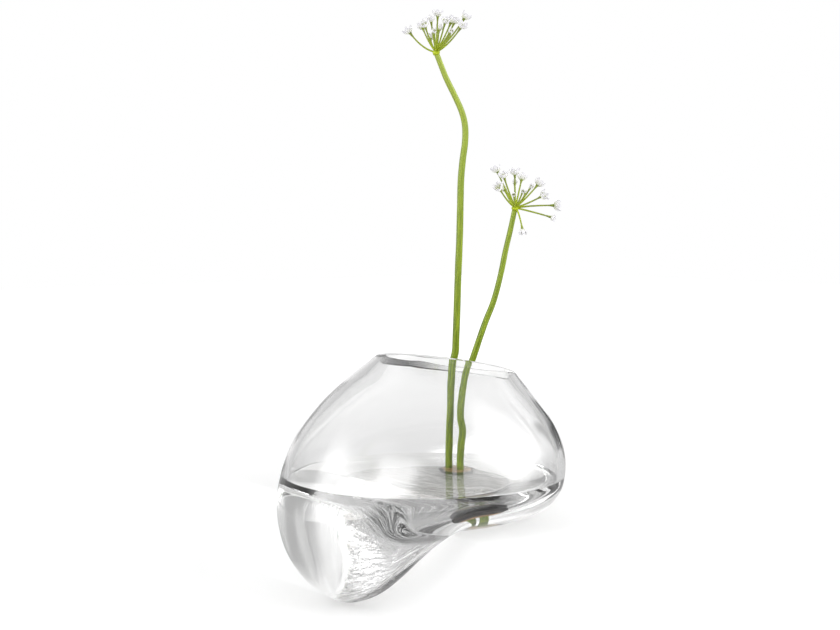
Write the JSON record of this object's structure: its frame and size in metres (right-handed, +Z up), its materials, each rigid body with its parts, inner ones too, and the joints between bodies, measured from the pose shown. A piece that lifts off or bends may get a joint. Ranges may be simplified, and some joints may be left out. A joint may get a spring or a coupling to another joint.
{
  "type": "glass vase slumped over a shelf edge",
  "caption": "Clear blown glass vase that sagged over a shelf edge, with a hanging lobe and a slanted mouth, holding water and white umbel flowers that lift out.",
  "frame": {"origin": "middle of the flat seat, in the plane of the shelf's top", "axes": "+Z up, square to the seat; -Y towards the viewer; the lobe hangs over the shelf's edge towards 220 degrees from +X"},
  "size_m": [0.1883, 0.1898, 0.3856],
  "materials": {
    "clear_glass": "fire-polished clear soda-lime glass with a ground and polished mouth",
    "still_water": "still clear water",
    "florist_clay": "pressed brown florist's clay",
    "green_stem": "fresh waxy stem with fine ribs",
    "flower_stalk": "fresh thin stalk",
    "white_petal": "matt white petal"
  },
  "bodies": {
    "vase": {"glass_body": "clear_glass", "water": "still_water", "stem_holder": "florist_clay"},
    "tall_flower": {"tall_stem": "green_stem", "tall_rays": "flower_stalk", "tall_florets": "white_petal"},
    "short_flower": {"short_stem": "green_stem", "short_rays": "flower_stalk", "short_florets": "white_petal"}
  },
  "joints": [
    {"name": "tall_lift", "type": "slide", "parent": "vase", "child": "tall_flower", "axis": [0, 0, 1], "range_m": [0, 0.1]},
    {"name": "short_lift", "type": "slide", "parent": "vase", "child": "short_flower", "axis": [0, 0, 1], "range_m": [0, 0.1]}
  ]
}
